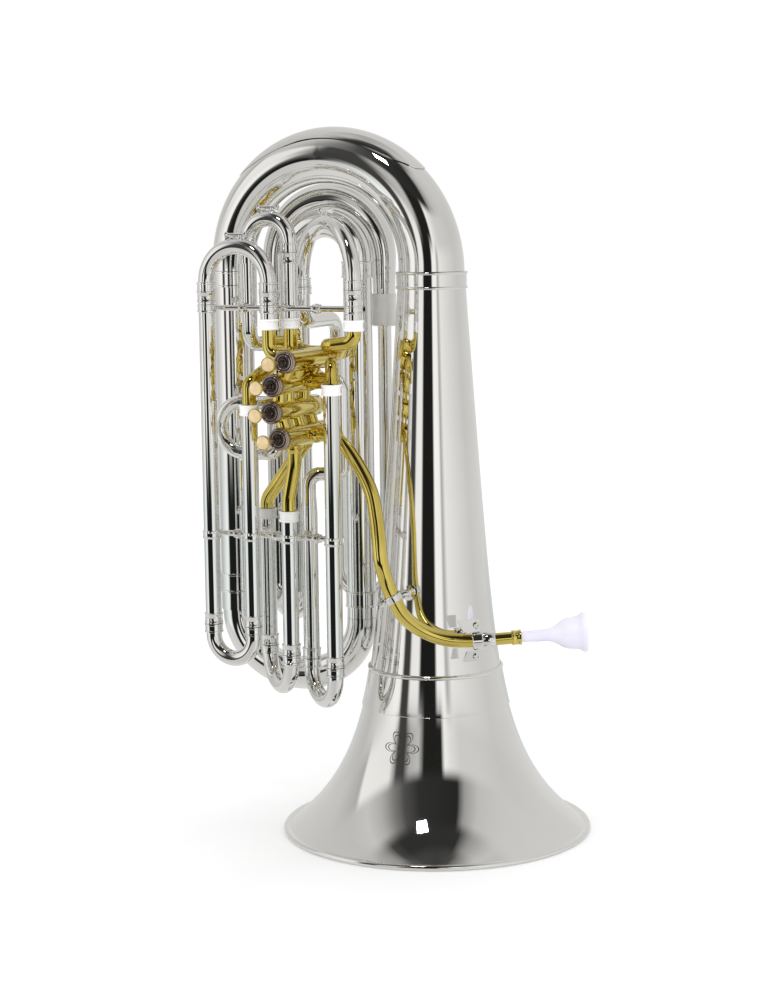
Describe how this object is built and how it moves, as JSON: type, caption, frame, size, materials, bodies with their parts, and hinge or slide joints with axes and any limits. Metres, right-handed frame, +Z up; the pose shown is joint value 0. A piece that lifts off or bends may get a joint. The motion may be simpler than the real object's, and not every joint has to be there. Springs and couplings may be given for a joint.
{
  "type": "tuba",
  "caption": "Upright tuba standing on its bell, with a silver bell and branches, brass front-action piston valves, pull-out tuning slides, a curved leadpipe and a plastic mouthpiece.",
  "frame": {"origin": "on the floor the rim rests on, under the middle of the instrument's footprint; the bell axis stands 45.0 mm toward +X and 6.5 mm toward +Y of it", "axes": "+Z up along the bell axis toward the big bow, -X toward the outer branch, -Y toward the finger buttons"},
  "size_m": [0.5132, 0.393, 0.8644],
  "materials": {
    "silver_plate": "bright silver plate, polished",
    "silver_slide": "bright silver plate, polished, with drawn inner legs",
    "lacquered_brass": "polished yellow brass under clear lacquer",
    "dark_nickel": "turned dark nickel with concentric rings",
    "pearl": "glossy peach pearl",
    "mouthpiece_plastic": "glossy pale lilac-white plastic"
  },
  "bodies": {
    "root": {"bell_flare": "silver_plate", "bell_stack": "silver_plate", "bell_garland": "silver_plate", "bow_ferrule": "silver_plate", "big_bow": "silver_plate", "bow_guard": "silver_plate", "outer_branch": "silver_plate", "second_bow": "silver_plate", "inner_branch": "silver_plate", "upper_arch": "silver_plate", "return_branch": "silver_plate", "rear_loop": "silver_plate", "tube_4th_left": "silver_plate", "tube_4th_upper": "silver_plate", "tube_4th_right": "silver_plate", "tube_main_right": "silver_plate", "tube_main_left": "silver_plate", "tube_crook_right": "silver_plate", "tube_3rd_front": "silver_plate", "tube_3rd_rear": "silver_plate", "tube_1st_front": "silver_plate", "tube_1st_rear": "silver_plate", "tube_2nd_upper": "silver_plate", "tube_2nd_lower": "silver_plate", "leadpipe_stay": "silver_plate", "receiver_stay": "silver_plate", "brace_upper": "silver_plate", "brace_lower": "silver_plate", "brass_1st_front": "lacquered_brass", "brass_1st_rear": "lacquered_brass", "brass_3rd": "lacquered_brass", "brass_4th_in": "lacquered_brass", "brass_4th_out": "lacquered_brass", "main_crook": "lacquered_brass", "valve_casing_1": "lacquered_brass", "valve_casing_2": "lacquered_brass", "valve_casing_3": "lacquered_brass", "valve_casing_4": "lacquered_brass", "leadpipe": "lacquered_brass", "receiver": "lacquered_brass", "valve_cap_1": "dark_nickel", "valve_cap_2": "dark_nickel", "valve_cap_3": "dark_nickel", "valve_cap_4": "dark_nickel"},
    "valve_1": {"piston_1": "dark_nickel", "finger_button_1": "pearl"},
    "valve_2": {"piston_2": "dark_nickel", "finger_button_2": "pearl"},
    "valve_3": {"piston_3": "dark_nickel", "finger_button_3": "pearl"},
    "valve_4": {"piston_4": "dark_nickel", "finger_button_4": "pearl"},
    "slide_1st_body": {"slide_1st": "silver_slide"},
    "slide_2nd_body": {"slide_2nd": "silver_slide"},
    "slide_3rd_body": {"slide_3rd": "silver_slide"},
    "slide_4th_lower_body": {"slide_4th_lower": "silver_slide"},
    "slide_4th_upper_body": {"slide_4th_upper": "silver_slide"},
    "slide_main_body": {"slide_main": "silver_slide"},
    "slide_crook_body": {"slide_crook": "silver_slide"},
    "mouthpiece_body": {"mouthpiece": "mouthpiece_plastic"}
  },
  "joints": [
    {"name": "valve_1_press", "type": "slide", "parent": "root", "child": "valve_1", "axis": [0, 1, 0], "range_m": [0, 0.018], "stiffness_N_per_m": 150, "springref_m": -0.02},
    {"name": "valve_2_press", "type": "slide", "parent": "root", "child": "valve_2", "axis": [0, 1, 0], "range_m": [0, 0.018], "stiffness_N_per_m": 150, "springref_m": -0.02},
    {"name": "valve_3_press", "type": "slide", "parent": "root", "child": "valve_3", "axis": [0, 1, 0], "range_m": [0, 0.018], "stiffness_N_per_m": 150, "springref_m": -0.02},
    {"name": "valve_4_press", "type": "slide", "parent": "root", "child": "valve_4", "axis": [0, 1, 0], "range_m": [0, 0.018], "stiffness_N_per_m": 150, "springref_m": -0.02},
    {"name": "slide_1st_pull", "type": "slide", "parent": "root", "child": "slide_1st_body", "axis": [0, 0, -1], "range_m": [0, 0.09]},
    {"name": "slide_2nd_pull", "type": "slide", "parent": "root", "child": "slide_2nd_body", "axis": [-1, 0, 0], "range_m": [0, 0.022]},
    {"name": "slide_3rd_pull", "type": "slide", "parent": "root", "child": "slide_3rd_body", "axis": [0, 0, -1], "range_m": [0, 0.08]},
    {"name": "slide_4th_lower_pull", "type": "slide", "parent": "root", "child": "slide_4th_lower_body", "axis": [0, 0, -1], "range_m": [0, 0.09]},
    {"name": "slide_4th_upper_pull", "type": "slide", "parent": "root", "child": "slide_4th_upper_body", "axis": [0, 0, 1], "range_m": [0, 0.032]},
    {"name": "slide_main_pull", "type": "slide", "parent": "root", "child": "slide_main_body", "axis": [0, 0, 1], "range_m": [0, 0.05]},
    {"name": "slide_crook_pull", "type": "slide", "parent": "root", "child": "slide_crook_body", "axis": [0, 0, 1], "range_m": [0, 0.016]},
    {"name": "mouthpiece_pull", "type": "slide", "parent": "root", "child": "mouthpiece_body", "axis": [0.8953, 0.4401, 0.069], "range_m": [0, 0.012]}
  ]
}
